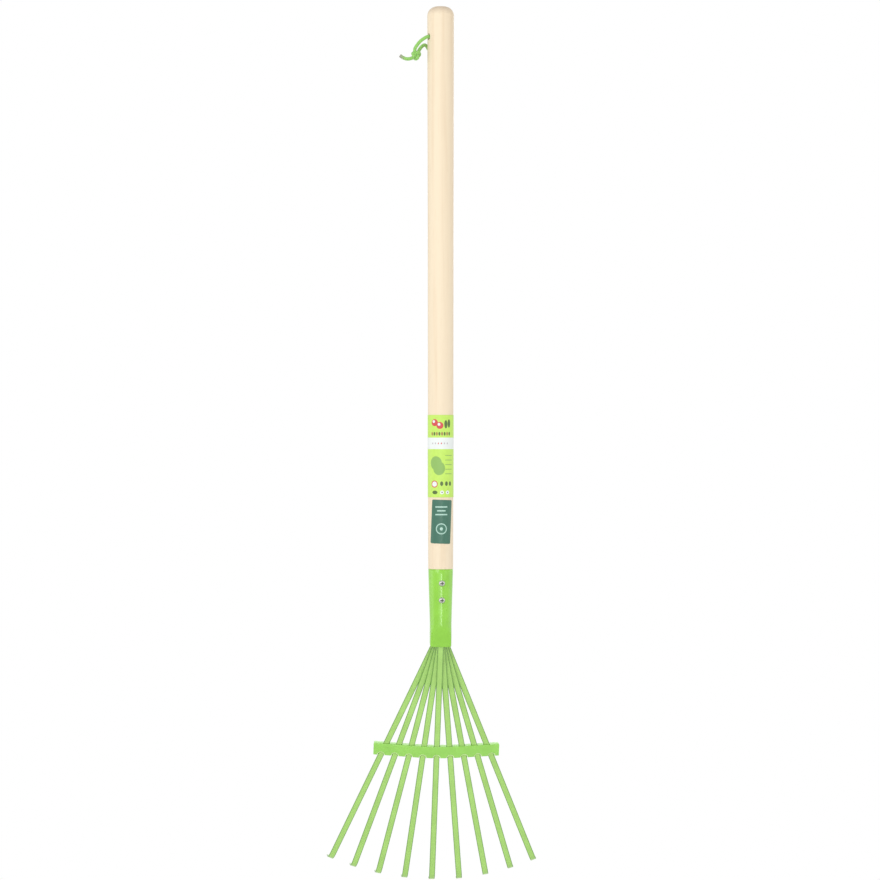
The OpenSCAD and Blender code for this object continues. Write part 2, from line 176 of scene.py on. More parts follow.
class RakeCord(bpy.types.PropertyGroup):
    """Sizes of the cord and its knot."""

    cord_d: length("Cord diameter", "Diameter of the cord", 0.0032)
    knot_r: length("Knot radius", "Half the width of the knot", 0.0049)


class RakeColours(bpy.types.PropertyGroup):
    """Colours of the rake."""

    wood: colour("Wood", "Main colour of the wood", (0.80, 0.68, 0.505))
    wood_dark: colour("Dark grain", "Colour of the darker grain", (0.75, 0.61, 0.435))
    wood_end: colour("End grain", "Colour of the end grain at the top", (0.53, 0.43, 0.32))
    socket: colour("Socket paint", "Colour of the socket", (0.245, 0.58, 0.035))
    tine: colour("Tine paint", "Colour of the tines", (0.35, 0.61, 0.14))
    bar: colour("Crossbar paint", "Colour of the crossbar", (0.275, 0.61, 0.086))
    # Notch rims: near-white, a painted highlight on the bevelled edges of the notches
    rim: colour("Notch rims", "Colour of the bevelled rims of the notches", (0.82, 0.99, 0.56))
    # Tines' narrow edges: darker, painted shade in the gaps between the tines
    edge_shade: colour("Paint edge", "Colour of the tines' narrow edges", (0.125, 0.29, 0.046))
    steel: colour("Screw steel", "Colour of the screws", (0.55, 0.56, 0.50))
    # Screw recess: near-black, painted shade in the screws' recesses
    recess: colour("Screw recess", "Colour in the screws' recesses", (0.05, 0.06, 0.04))
    label: colour("Label ground", "Ground colour of the label", (0.52, 0.78, 0.12))
    label_pale: colour("Label band", "Colour of the label's pale band", (0.74, 0.78, 0.76))
    label_dark: colour("Label motif", "Colour of the label's dark motifs", (0.08, 0.14, 0.03))
    label_leaf: colour("Label bushes", "Colour of the label's bushes and lines", (0.24, 0.44, 0.1))
    label_brown: colour("Label seeds", "Colour of the label's seeds", (0.34, 0.19, 0.06))
    label_grey: colour("Label dots", "Colour of the dots on the pale band", (0.48, 0.44, 0.46))
    label_red: colour("Label berries", "Colour of the label's berries and ring", (0.57, 0.06, 0.06))
    seal: colour("Sticker ground", "Ground colour of the sticker", (0.04, 0.15, 0.098))
    seal_pale: colour("Sticker motif", "Colour of the sticker's motif", (0.39, 0.6, 0.51))
    cord: colour("Cord", "Colour of the cord", (0.345, 0.71, 0.16))
    cord_end: colour("Cord end", "Colour of the cord's singed cut end", (0.3, 0.28, 0.23))


def settings():
    """The scene's rake settings: handle, socket, fan, cord and colours."""
    scene = bpy.context.scene
    return tuple(getattr(scene, name) for name, _ in GROUPS)


def between(z, z0, r0, z1, r1):
    """Straight line from one point to another, read at a height."""
    return r0 + (r1 - r0) * (z - z0) / (z1 - z0)


def handle_r(z):
    """Radius of the handle below its grip stretch."""
    handle = settings()[0]
    shoulder, grip = -handle.shoulder_drop, -handle.grip_len / 2
    return between(z, shoulder, handle.shoulder_d / 2, grip, handle.grip_d / 2)


def socket_r(z):
    """Outside radius of the socket's round taper."""
    handle, socket = settings()[:2]
    top = -handle.shoulder_drop
    return between(z, top, socket.top_d / 2, top - socket.taper_len, socket.waist_d / 2)


class Fan:
    """Places in the fan, in the order of its tines from the left."""

    def __init__(self):
        handle, socket, fan = settings()[:3]
        self.fan = fan
        self.layer_pitch = fan.tine_t + fan.layer_gap
        self.front = SIDE_TINES * self.layer_pitch
        self.bar_at = fan.root_drop + fan.bar_drop
        self.bow_half = fan.bow_r * sin(fan.bow_slope)
        self.web_front = self.front + fan.tine_t / 2 + fan.web_gap + fan.bar_t
        wing = SIDE_TINES * fan.slot_span + fan.bar_end - self.bow_half
        self.wing_len = wing / cos(fan.bow_slope)
        self.waist_z = -handle.shoulder_drop - socket.taper_len
        self.bend_r = socket.press_len / sin(fan.pitch)
        mouth = Vector((0, self.bend_r * (1 - cos(fan.pitch)), self.waist_z - socket.press_len))
        self.frame = (
            Matrix.Translation(mouth)
            @ Matrix.Rotation(pi + fan.pitch, 4, "X")
            @ Matrix.Rotation(-fan.lean, 4, "Y")
            @ Matrix.Translation((0, 0, -fan.root_drop))
        )

    def root_depth(self, j):
        """Depth of a tine's root in the stack."""
        return (SIDE_TINES - 2 * abs(j) + (1 if j < 0 else 0)) * self.layer_pitch

    def angle(self, j):
        """Sideways angle of a tine."""
        return atan(j * self.fan.slot_span / self.bar_at)

    def setback(self, x):
        """Setback of the bow at a distance across."""
        r, slope = self.fan.bow_r, self.fan.bow_slope
        if abs(x) < self.bow_half:
            return r - sqrt(r * r - x * x)
        return r - r * cos(slope) + (abs(x) - self.bow_half) * tan(slope)

    def tine_frame(self, j):
        """Frame of a tine: its own Z runs along it, and its own Y faces the front."""
        x = self.bar_at * tan(self.angle(j))
        at_bar = self.front - self.setback(x) - (self.fan.side_gap if j else 0)
        slope = atan((self.root_depth(j) - at_bar) * cos(self.angle(j)) / self.bar_at)
        return (
            self.frame
            @ Matrix.Translation((0, self.root_depth(j), 0))
            @ Matrix.Rotation(self.angle(j), 4, "Y")
            @ Matrix.Rotation(slope, 4, "X")
            @ Matrix.Rotation(-j * self.fan.roll, 4, "Z")
        )

    def notch_frame(self, j):
        """Frame of a notch in the crossbar's lower edge: its own Y runs out of the front face."""
        fan = self.fan
        z = self.bar_at + fan.bar_h / 2
        x = z * tan(self.angle(j))
        turn = max(-fan.bow_slope, min(fan.bow_slope, asin(x / fan.bow_r)))
        place = Matrix.Translation((x, self.web_front - self.setback(x), z))
        return self.frame @ place @ Matrix.Rotation(-turn, 4, "Z")

    def bow_place(self, along, depth, height):
        """A point of the crossbar.

        It lies along the bow from -1 to 1, behind the front face and up from the middle.
        """
        slope = self.fan.bow_slope
        arc = self.fan.bow_r * slope
        way = along * (arc + self.wing_len)
        turn = max(-arc, min(arc, way)) / self.fan.bow_r
        rest = way - turn * self.fan.bow_r
        x = (self.fan.bow_r - depth) * sin(turn) + rest * cos(slope)
        y = (self.fan.bow_r - depth) * cos(turn) - abs(rest) * sin(slope)
        return self.frame @ Vector((x, y + self.web_front - self.fan.bow_r, self.bar_at - height))


def spin_profile(points, steps=ROUND_STEPS):
    """A closed turned body from half an outline of (radius, height) pairs.

    The outline starts and ends on the axis.
    """
    bm = bmesh.new()
    verts = [bm.verts.new((r, 0, z)) for r, z in points]
    for a, b in zip(verts, verts[1:]):
        bm.edges.new((a, b))
    bmesh.ops.spin(
        bm, geom=bm.verts[:] + bm.edges[:], cent=(0, 0, 0), axis=(0, 0, 1),
        angle=2 * pi, steps=steps, use_merge=True,
    )
    bmesh.ops.remove_doubles(bm, verts=bm.verts, dist=MERGE)
    return bm


def surface(across, along, place):
    """A grid of faces, with meeting edges joined.

    A function of two shares from 0 to 1 places each corner.
    """
    bm = bmesh.new()
    grid = bmesh.ops.create_grid(bm, x_segments=across, y_segments=along, size=0.5)
    for vert in grid["verts"]:
        vert.co = place(vert.co.x + 0.5, vert.co.y + 0.5)
    bmesh.ops.remove_doubles(bm, verts=bm.verts, dist=MERGE)
    return bm


def corners(geom):
    """The corners among the items of a mesh."""
    return [item for item in geom if isinstance(item, bmesh.types.BMVert)]


def extrude_on(bm, face, matrix):
    """Extrudes a face, moves the new end by a matrix and returns it."""
    new = bmesh.ops.extrude_face_region(bm, geom=[face])["geom"]
    bmesh.ops.transform(bm, matrix=matrix, verts=corners(new))
    return next(item for item in new if isinstance(item, bmesh.types.BMFace))


def moved(bm, matrix):
    """The same body, moved by a matrix."""
    bmesh.ops.transform(bm, matrix=matrix, verts=bm.verts)
    return bm


def mesh_object(name, bm):
    """An object of that body, at the origin."""
    bmesh.ops.recalc_face_normals(bm, faces=bm.faces)
    mesh = bpy.data.meshes.new(name)
    bm.to_mesh(mesh)
    bm.free()
    obj = bpy.data.objects.new(name, mesh)
    bpy.context.collection.objects.link(obj)
    return obj


def cut(obj, *cutters):
    """Takes the cutters' bodies out of an object."""
    for bm in cutters:
        cutter = mesh_object("cutter", bm)
        modifier = obj.modifiers.new("cut", "BOOLEAN")
        modifier.object = cutter
        modifier.operation = "DIFFERENCE"
        modifier.solver = "EXACT"
        evaluated = obj.evaluated_get(bpy.context.evaluated_depsgraph_get())
        before = obj.data
        after = bpy.data.meshes.new_from_object(evaluated)
        obj.modifiers.clear()
        obj.data = after
        bpy.data.meshes.remove(before)
        spare = cutter.data
        bpy.data.objects.remove(cutter)
        bpy.data.meshes.remove(spare)
    if not obj.data.polygons:
        raise RuntimeError(f"{obj.name}: the cut left nothing")
    return obj


def dress(obj, material, slot, *nodes, crease=35.0):
    """Gives an object its finish and its place in the frame, instead of CAD nodes."""
    obj.data.materials.clear()
    obj.data.materials.append(material)
    if obj.type == "MESH":
        obj.data.shade_smooth()
        obj.data.set_sharp_from_angle(angle=radians(crease))
    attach(obj, BODY)
    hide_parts(*nodes)
    return obj


class Nodes:
    """The nodes of a new material or world, with short calls to fill them."""

    def __init__(self, name, kind="materials"):
        self.owner = getattr(bpy.data, kind).new(name)
        self.owner.use_nodes = True
        self.tree = self.owner.node_tree

    def add(self, kind, inputs=(), **settings_of_node):
        """A node; inputs are pairs of a socket's name or number and a value or an output."""
        node = self.tree.nodes.new(kind)
        for key, value in settings_of_node.items():
            setattr(node, key, value)
        for socket, value in inputs:
            self.put(node.inputs[socket], value)
        return node

    def put(self, socket, value):
        """Links an output to a socket, or sets the socket's own value."""
        if isinstance(value, bpy.types.NodeSocket):
            self.tree.links.new(value, socket)
        elif hasattr(value, "__len__"):
            short = len(socket.default_value) - len(value)
            socket.default_value = (*value, *([1.0] * short))
        else:
            socket.default_value = value

    def shade(self, **inputs):
        """Sets a material's sockets; spaces in their names are written as underscores."""
        shader = self.tree.nodes["Principled BSDF"]
        for key, value in inputs.items():
            self.put(shader.inputs[key.replace("_", " ")], value)
        return self.owner

    def math(self, operation, *values):
        """The result of one operation on values or outputs."""
        return self.add("ShaderNodeMath", enumerate(values), operation=operation).outputs[0]

    def mix(self, share, a, b):
        """The first colour, with a share of the second in its place."""
        inputs = zip(MIX_INPUTS, (share, a, b))
        return self.add("ShaderNodeMix", inputs, data_type="RGBA").outputs[MIX_RESULT]

    def place(self, scale=(1, 1, 1)):
        """Object coordinates, scaled."""
        coords = self.add("ShaderNodeTexCoord").outputs["Object"]
        return self.add("ShaderNodeMapping", [("Vector", coords), ("Scale", scale)]).outputs[0]

    def xyz(self):
        """Object coordinates, one by one."""
        return self.add("ShaderNodeSeparateXYZ", [(0, self.place())]).outputs

    def noise(self, vector, scale, detail=3.0):
        """Cloudy noise from 0 to 1."""
        inputs = [("Vector", vector), ("Scale", scale), ("Detail", detail)]
        return self.add("ShaderNodeTexNoise", inputs).outputs[0]

    def ramp(self, value, low, high):
        """0 below low, 1 above high, and a straight line between."""
        inputs = [("Value", value), ("From Min", low), ("From Max", high)]
        return self.add("ShaderNodeMapRange", inputs).outputs[0]

    def span(self, value, low, high):
        """Low where the value is 0, high where it is 1, and a straight line between."""
        inputs = [("Value", value), ("To Min", low), ("To Max", high)]
        return self.add("ShaderNodeMapRange", inputs).outputs[0]

    def seen(self):
        """1 for rays from the camera, straight, reflected or through glass, and 0 for the others."""
        path = self.add("ShaderNodeLightPath").outputs
        seen = self.math("MAXIMUM", path["Is Camera Ray"], path["Is Glossy Ray"])
        return self.math("MAXIMUM", seen, path["Is Transmission Ray"])

    def bump(self, height, strength, distance):
        """Normals of a fine relief."""
        inputs = [("Height", height), ("Strength", strength), ("Distance", distance)]
        return self.add("ShaderNodeBump", inputs).outputs[0]


def tinted(tone, times, plus=0.0):
    """A colour made paler or darker."""
    return tuple(min(1.0, part * times + plus) for part in tone)


# Stretch of the wood's grain, bands and pores along the handle
GRAIN_STRETCH = (1.0, 1.0, 0.035)
BAND_STRETCH = (1.0, 1.0, 0.02)
PORE_STRETCH = (1.0, 1.0, 0.06)
PORE_SHARE = 0.5
# Share of a paler tone on rubbed spots of the paint
RUBBED_SHARE = 0.25
# Stretch of the scratches on the screws
SCRATCH_STRETCH = (1.0, 1.0, 8.0)


def wood_material(handle, colours):
    """Pale turned wood: long grain, fine pores, darker end grain at the top and a matt finish."""
    nodes = Nodes("wood")
    grain = nodes.noise(nodes.place(GRAIN_STRETCH), scale=190.0, detail=5.0)
    bands = nodes.noise(nodes.place(BAND_STRETCH), scale=60.0, detail=2.0)
    pores = nodes.noise(nodes.place(PORE_STRETCH), scale=900.0, detail=2.0)
    lines = nodes.ramp(grain, low=0.52, high=0.78)
    share = nodes.math("ADD", lines, nodes.ramp(bands, low=0.5, high=0.9))
    base = nodes.mix(nodes.math("MINIMUM", share, 1.0), colours.wood, colours.wood_dark)
    pitted = nodes.math("MULTIPLY", nodes.ramp(pores, low=0.62, high=0.75), PORE_SHARE)
    marked = nodes.mix(pitted, base, colours.wood_dark)
    at_top = nodes.ramp(nodes.xyz()[2], low=handle.rise - handle.top_round, high=handle.rise)
    return nodes.shade(
        Base_Color=nodes.mix(at_top, marked, colours.wood_end),
        Roughness=nodes.math("MULTIPLY_ADD", grain, 0.15, 0.5),
        Normal=nodes.bump(nodes.math("ADD", grain, pores), strength=0.12, distance=0.0004),
        Specular_IOR_Level=0.3,
    )


def paint_material(name, ground, edge=None):
    """Satin paint on sheet steel, faintly mottled, with rubbed spots.

    Narrow edges that a mesh marks can have a darker colour of their own: painted shade between the
    tines.
    """
    nodes = Nodes(name)
    cloud = nodes.noise(nodes.place(), scale=70.0)
    grit = nodes.noise(nodes.place(), scale=1400.0, detail=2.0)
    mottled = nodes.ramp(cloud, low=0.3, high=0.7)
    base = nodes.mix(mottled, tinted(ground, 0.94), tinted(ground, 1.05, 0.01))
    rubbed = nodes.math("MULTIPLY", nodes.ramp(grit, low=0.68, high=0.8), RUBBED_SHARE)
    tone = nodes.mix(rubbed, base, tinted(ground, 1.3, 0.08))
    # Darker marked edges: painted shade
    if edge is not None:
        mark = nodes.add("ShaderNodeAttribute", attribute_name=EDGE_SHADE_MARK).outputs["Fac"]
        tone = nodes.mix(mark, tone, edge)
    return nodes.shade(
        Base_Color=tone,
        Roughness=nodes.span(cloud, low=0.24, high=0.3),
        Normal=nodes.bump(grit, strength=0.03, distance=0.0002),
        Coat_Weight=0.3,
        Coat_Roughness=0.2,
    )


def steel_material(colours):
    """Zinc-plated steel with fine scratches."""
    nodes = Nodes("screw_steel")
    scratch = nodes.noise(nodes.place(SCRATCH_STRETCH), scale=700.0, detail=4.0)
    return nodes.shade(
        Base_Color=nodes.mix(scratch, tinted(colours.steel, 0.8), colours.steel),
        Metallic=1.0,
        Roughness=nodes.span(scratch, low=0.22, high=0.45),
        Normal=nodes.bump(scratch, strength=0.08, distance=0.0001),
    )


def around(nodes, radius):
    """Distance round the handle from its front, and height, both in metres."""
    x, y, z = nodes.xyz()
    turn = nodes.math("ARCTAN2", x, nodes.math("MULTIPLY", y, -1.0))
    return nodes.math("MULTIPLY", turn, radius), z


def spot(nodes, across, up, centre, size):
    """1 inside an oval on the paper and 0 outside it."""
    x = nodes.math("DIVIDE", nodes.math("SUBTRACT", across, centre[0]), size[0])
    y = nodes.math("DIVIDE", nodes.math("SUBTRACT", up, centre[1]), size[1])
    far = nodes.math("ADD", nodes.math("MULTIPLY", x, x), nodes.math("MULTIPLY", y, y))
    return nodes.math("LESS_THAN", far, 1.0)


def stripe(nodes, value, low, high):
    """1 between two limits and 0 outside them."""
    above = nodes.math("GREATER_THAN", value, low)
    return nodes.math("MULTIPLY", above, nodes.math("LESS_THAN", value, high))


def row(drop, *places):
    """Places across the label in one row, at a distance down from its top."""
    return tuple((x, drop) for x in places)


# Motifs of the label: colour, half width and half height,
# then places across from the front and down from the top
LABEL_MOTIFS = (
    ("label_leaf", 0.0056, 0.0062, ((-0.0052, 0.0440), (-0.0022, 0.0488))),
    ("label_dark", 0.0015, 0.0038, ((0.0042, 0.0085), (0.0074, 0.0078))),
    ("label_red", 0.0032, 0.0032, ((-0.0064, 0.0070), (-0.0014, 0.0096), (-0.0066, 0.0632))),
    ("label_pale", 0.0013, 0.0013, ((-0.0072, 0.0060), (-0.0022, 0.0086))),
    ("label_pale", 0.0024, 0.0024, row(0.0632, -0.0066)),
    ("label_brown", 0.0009, 0.0017, row(0.0172, -0.0090, -0.0042, 0.0006, 0.0054)),
    ("label_dark", 0.0009, 0.0017, row(0.0172, -0.0066, -0.0018, 0.0030, 0.0078)),
    ("label_grey", 0.0006, 0.0009, row(0.0260, -0.0084, -0.0056, 0.0028, 0.0056)),
    ("label_red", 0.0005, 0.0008, row(0.0260, -0.0028, 0.0)),
    ("label_dark", 0.0014, 0.0021, row(0.0628, 0.0002, 0.0048, 0.0088)),
    ("label_dark", 0.0026, 0.0017, row(0.0708, -0.0062)),
    ("label_pale", 0.0018, 0.0017, row(0.0708, 0.0006, 0.0060)),
    ("label_dark", 0.0006, 0.0006, row(0.0708, 0.0006, 0.0060)),
)
# Pale band and fine lines of the label, down from its top, and the ends of the lines across it
LABEL_BAND = (0.0207, 0.0312)
LABEL_LINES = (0.0370, 0.0412, 0.0454, 0.0496, 0.0538)
LABEL_LINE_ENDS = (0.0036, 0.0112)
LABEL_LINE_HALF = 0.00035


def label_material(handle, colours):
    """Light green paper with berries, seeds, a pale dotted band, bushes and fine lines."""
    nodes = Nodes("label")
    top = -handle.label_drop
    across, up = around(nodes, handle.grip_d / 2)
    fibre = nodes.noise(nodes.place(), scale=420.0)
    ground = nodes.ramp(fibre, low=0.2, high=0.9)
    tone = nodes.mix(ground, tinted(colours.label, 0.9), colours.label)
    band = stripe(nodes, up, top - LABEL_BAND[1], top - LABEL_BAND[0])
    tone = nodes.mix(band, tone, colours.label_pale)
    for drop in LABEL_LINES:
        line = stripe(nodes, up, top - drop - LABEL_LINE_HALF, top - drop + LABEL_LINE_HALF)
        line = nodes.math("MULTIPLY", line, stripe(nodes, across, *LABEL_LINE_ENDS))
        tone = nodes.mix(line, tone, colours.label_leaf)
    for tint, wide, high, places in LABEL_MOTIFS:
        for x, drop in places:
            motif = spot(nodes, across, up, (x, top - drop), (wide, high))
            tone = nodes.mix(motif, tone, getattr(colours, tint))
    relief = nodes.bump(fibre, strength=0.05, distance=0.0002)
    return nodes.shade(Base_Color=tone, Roughness=0.42, Normal=relief)


# Motifs of the sticker: bars by half width and height above its middle,
# then a ring by its height, outer and inner radius, and the radius of its dot
SEAL_BARS = ((0.0055, 0.0135), (0.0038, 0.0100), (0.0055, 0.0065))
SEAL_BAR_HALF = 0.0006
SEAL_RING = (-0.0065, 0.0050, 0.0041)
SEAL_DOT = 0.0014


def seal_middle(handle):
    """Height of the sticker's middle."""
    return -handle.label_drop - handle.label_h - handle.seal_gap - handle.seal_h / 2


def seal_material(handle, colours):
    """Dark green sticker with three pale bars, a ring and a dot."""
    nodes = Nodes("seal")
    middle = seal_middle(handle)
    across, up = around(nodes, handle.shoulder_d / 2)
    fibre = nodes.noise(nodes.place(), scale=500.0)
    ground = nodes.ramp(fibre, low=0.2, high=0.9)
    tone = nodes.mix(ground, tinted(colours.seal, 0.85), colours.seal)
    for half, rise in SEAL_BARS:
        bar = stripe(nodes, up, middle + rise - SEAL_BAR_HALF, middle + rise + SEAL_BAR_HALF)
        bar = nodes.math("MULTIPLY", bar, stripe(nodes, across, -half, half))
        tone = nodes.mix(bar, tone, colours.seal_pale)
    rise, outer, inner = SEAL_RING
    for r, tint in ((outer, colours.seal_pale), (inner, colours.seal), (SEAL_DOT, colours.seal_pale)):
        tone = nodes.mix(spot(nodes, across, up, (0.0, middle + rise), (r, r)), tone, tint)
    relief = nodes.bump(fibre, strength=0.05, distance=0.0002)
    return nodes.shade(Base_Color=tone, Roughness=0.38, Normal=relief)


def cord_material(colours):
    """Braided cord: fine crossing strands, a soft nap and a singed end."""
    nodes = Nodes("green_cord")
    inputs = [("Vector", nodes.place()), ("Scale", 420.0), ("Distortion", 2.0)]
    strands = nodes.add("ShaderNodeTexWave", inputs, bands_direction="DIAGONAL").outputs[1]
    nap = nodes.noise(nodes.place(), scale=1500.0)
    tone = nodes.mix(strands, tinted(colours.cord, 0.55), colours.cord)
    end = CORD_TAIL[0][0]
    sound = nodes.ramp(nodes.xyz()[0], low=end * MM, high=(end + SINGED) * MM)
    tone = nodes.mix(nodes.math("SUBTRACT", 1.0, sound), tone, colours.cord_end)
    relief = nodes.bump(nodes.math("ADD", strands, nap), strength=0.35, distance=0.0003)
    return nodes.shade(Base_Color=tone, Roughness=0.85, Normal=relief, Sheen_Weight=0.3)


# Handle: chamfer of its edges, and how far the cord hole's cutter runs past the wood
HANDLE_EDGE = 0.0005
HOLE_OVER = 0.001


class RAKE_OT_handle(bpy.types.Operator):
    """Turn the wooden handle and drill its cord hole"""

    bl_idname = "rake.handle"
    bl_label = "Handle"

    def execute(self, context):
        handle, socket, _, _, colours = settings()
        shoulder = -handle.shoulder_drop
        tenon = shoulder - handle.tenon_len
        inside = socket.sheet_t + handle.tenon_gap
        top_flat = handle.top_d / 2 - handle.top_round
        round_z = handle.rise - handle.top_round
        points = [
            (0.0, tenon),
            (socket_r(tenon) - inside - HANDLE_EDGE, tenon),
            (socket_r(tenon) - inside, tenon + HANDLE_EDGE),
            (socket_r(shoulder) - inside, shoulder),
            (handle.shoulder_d / 2 - HANDLE_EDGE, shoulder),
            (handle.shoulder_d / 2, shoulder + HANDLE_EDGE),
            (handle.grip_d / 2, -handle.grip_len / 2),
            (handle.grip_d / 2, handle.grip_len / 2),
        ]
        for i in range(ARC_STEPS + 1):
            turn = pi / 2 * i / ARC_STEPS
            r = top_flat + handle.top_round * cos(turn)
            points.append((r, round_z + handle.top_round * sin(turn)))
        points.append((0.0, handle.rise))
        obj = mesh_object("handle", spin_profile(points))
        side = handle.top_d / 2
        bore = handle.hole_d / 2
        reach = side + HOLE_OVER
        front, back = side - handle.front_mouth_depth, side - handle.back_mouth_depth
        front_r = between(reach, front, bore, side, handle.front_mouth_d / 2)
        back_r = between(reach, back, bore, side, handle.back_mouth_d / 2)
        points = [(0, -reach), (front_r, -reach), (bore, -front)]
        points += [(bore, back), (back_r, reach), (0, reach)]
        hole = spin_profile(points, HOLE_STEPS)
        turn = Matrix.Rotation(handle.hole_turn, 4, "Z") @ Matrix.Rotation(pi / 2, 4, "Y")
        moved(hole, Matrix.Translation((0, 0, handle.rise - handle.hole_drop)) @ turn)
        dress(cut(obj, hole), wood_material(handle, colours), "wood", "handle")
        return {"FINISHED"}


# Socket: easing of its edges as a share of the sheet, rings from top to mouth,
# length of an eased edge as a share of half the run, and steps and overrun of the screw holes
SOCKET_EDGE = 0.25
SOCKET_RINGS = 24
SOCKET_LIP = 0.006
SCREW_HOLE_STEPS = 32
SCREW_HOLE_OVER = 0.002


class RAKE_OT_socket(bpy.types.Operator):
    """Press the socket from its round taper to its flat mouth"""

    bl_idname = "rake.socket"
    bl_label = "Socket"

    def execute(self, context):
        handle, socket, fan, _, colours = settings()
        places = Fan()
        spread = places.angle(SIDE_TINES)
        outer = tan(spread) * fan.root_drop + fan.tine_w / 2 / cos(spread)
        sheet = socket.sheet_t
        half_w = outer + socket.mouth_gap + sheet
        half_d = places.front + fan.tine_t / 2 + socket.mouth_gap + sheet
        shares = [-1 + 2 * i / SOCKET_RINGS for i in range(SOCKET_RINGS + 1)]
        eased = SOCKET_EDGE * sheet
        stations = [(-1.0, eased), (-1.0 + SOCKET_LIP, 0.0)]
        stations += [(s, 0.0) for s in shares[1:-1]]
        stations += [(1.0 - 2 * SOCKET_LIP, 0.0), (1.0, eased), (1.0, sheet)]
        stations += [(s, sheet) for s in reversed(shares[:-1])]
        stations.append(stations[0])

        def ring_point(share, inset, turn):
            """A point of a ring, from the top at -1 past the waist at 0 to the mouth at 1."""
            press = max(0.0, share)
            ease = press * press * (3 - 2 * press)
            square = 2 + (socket.mouth_square - 2) * ease
            waist = socket.waist_d / 2
            wide = waist if share > 0 else waist - share * (socket.top_d - socket.waist_d) / 2
            a = wide + (half_w - waist) * press - inset
            b = wide + (half_d - waist) * ease - inset
            x, y = (
                r * (1 if v > 0 else -1) * abs(v) ** (2 / square)
                for r, v in ((a, cos(turn)), (b, sin(turn)))
            )
            tilt, lean = fan.pitch * press, fan.lean * press
            down = x * sin(lean)
            z = places.waist_z - min(0.0, share) * socket.taper_len
            return Vector((
                x * cos(lean),
                places.bend_r * (1 - cos(tilt)) - y * cos(tilt) + down * sin(tilt),
                z - places.bend_r * sin(tilt) - y * sin(tilt) - down * cos(tilt),
            ))

        last = len(stations) - 1

        def place(u, v):
            share, inset = stations[round(v * last)]
            return ring_point(share, inset, 2 * pi * round(u * ROUND_STEPS) / ROUND_STEPS)

        obj = mesh_object("socket", surface(ROUND_STEPS, last, place))
        holes = []
        r = socket.shank_d / 2 + socket.screw_gap
        low, high = -socket.top_d / 4, SCREW_HOLE_OVER
        for drop in (socket.upper_drop, socket.lower_drop):
            hole = spin_profile([(0, low), (r, low), (r, high), (0, high)], SCREW_HOLE_STEPS)
            holes.append(moved(hole, screw_frame(drop)))
        paint = paint_material("socket_paint", colours.socket)
        dress(cut(obj, *holes), paint, "green_paint", "socket", crease=50.0)
        return {"FINISHED"}


def screw_frame(drop):
    """Frame of a screw: its own Z runs out of the socket's wall."""
    handle, socket = settings()[:2]
    z = -handle.shoulder_drop - drop
    seat = socket_r(z + socket.head_d / 2) + socket.screw_gap
    return (
        Matrix.Rotation(socket.screw_turn, 4, "Z")
        @ Matrix.Translation((0, -seat, z))
        @ Matrix.Rotation(pi / 2, 4, "X")
    )


# Screws: steps over the dome and round the body, and the most that a recess wall faces outward to get
# painted shade
DOME_STEPS = 8
SCREW_STEPS = 48
RECESS_OUTWARD = 0.1


class RAKE_OT_screws(bpy.types.Operator):
    """Set the two round-head screws in the socket"""

    bl_idname = "rake.screws"
    bl_label = "Screws"

    def execute(self, context):
        _, socket, _, _, colours = settings()
        steel = steel_material(colours)
        # Near-black material for the recesses: painted shade
        recess_shade_paint = Nodes("screw_recess").shade(Base_Color=colours.recess, Roughness=0.6)
        half = socket.head_d / 2
        dome_r = (half**2 + socket.head_h**2) / (2 * socket.head_h)
        widest = asin(half / dome_r)
        turns = [widest * i / DOME_STEPS for i in range(DOME_STEPS + 1)]
        points = [(dome_r * sin(a), socket.head_h - dome_r + dome_r * cos(a)) for a in turns]
        shank = socket.shank_d / 2
        points += [(shank, 0.0), (shank, socket.point_len - socket.screw_len)]
        points.append((0.0, -socket.screw_len))
        size = Matrix.Diagonal((socket.recess_span, socket.recess_w, 2 * socket.recess_depth, 1.0))
        for name, drop in (("upper_screw", socket.upper_drop), ("lower_screw", socket.lower_drop)):
            obj = mesh_object(name, moved(spin_profile(points, SCREW_STEPS), screw_frame(drop)))
            arms = []
            for turn in (0.0, pi / 2):
                arm = bmesh.new()
                bmesh.ops.create_cube(arm, size=1.0)
                seat = Matrix.Translation((0, 0, socket.head_h)) @ Matrix.Rotation(turn, 4, "Z")
                arms.append(moved(arm, screw_frame(drop) @ seat @ size))
            dress(cut(obj, *arms), steel, "screw_steel", name, crease=30.0)
            self.paint_recess_shade(obj, recess_shade_paint, screw_frame(drop).inverted(), socket)
        return {"FINISHED"}

    def paint_recess_shade(self, obj, material, to_screw, socket):
        """Gives the walls and the floor of a screw's recess a near-black material of their own:
        painted shade.
        """
        obj.data.materials.append(material)
        floor = socket.head_h - socket.recess_depth
        for face in obj.data.polygons:
            x, y, z = to_screw @ face.center
            within = max(abs(x), abs(y)) <= socket.recess_span / 2 + MERGE
            outward = (to_screw.to_3x3() @ face.normal).z
            at_floor = z < floor + MERGE
            if within and z >= floor - MERGE and (outward < RECESS_OUTWARD or at_floor):
                face.material_index = 1


# Tines: angles round a narrow edge and round the end, in degrees
EDGE_TURNS = range(-90, 91, 15)
END_TURNS = (18, 36, 54, 70, 82)


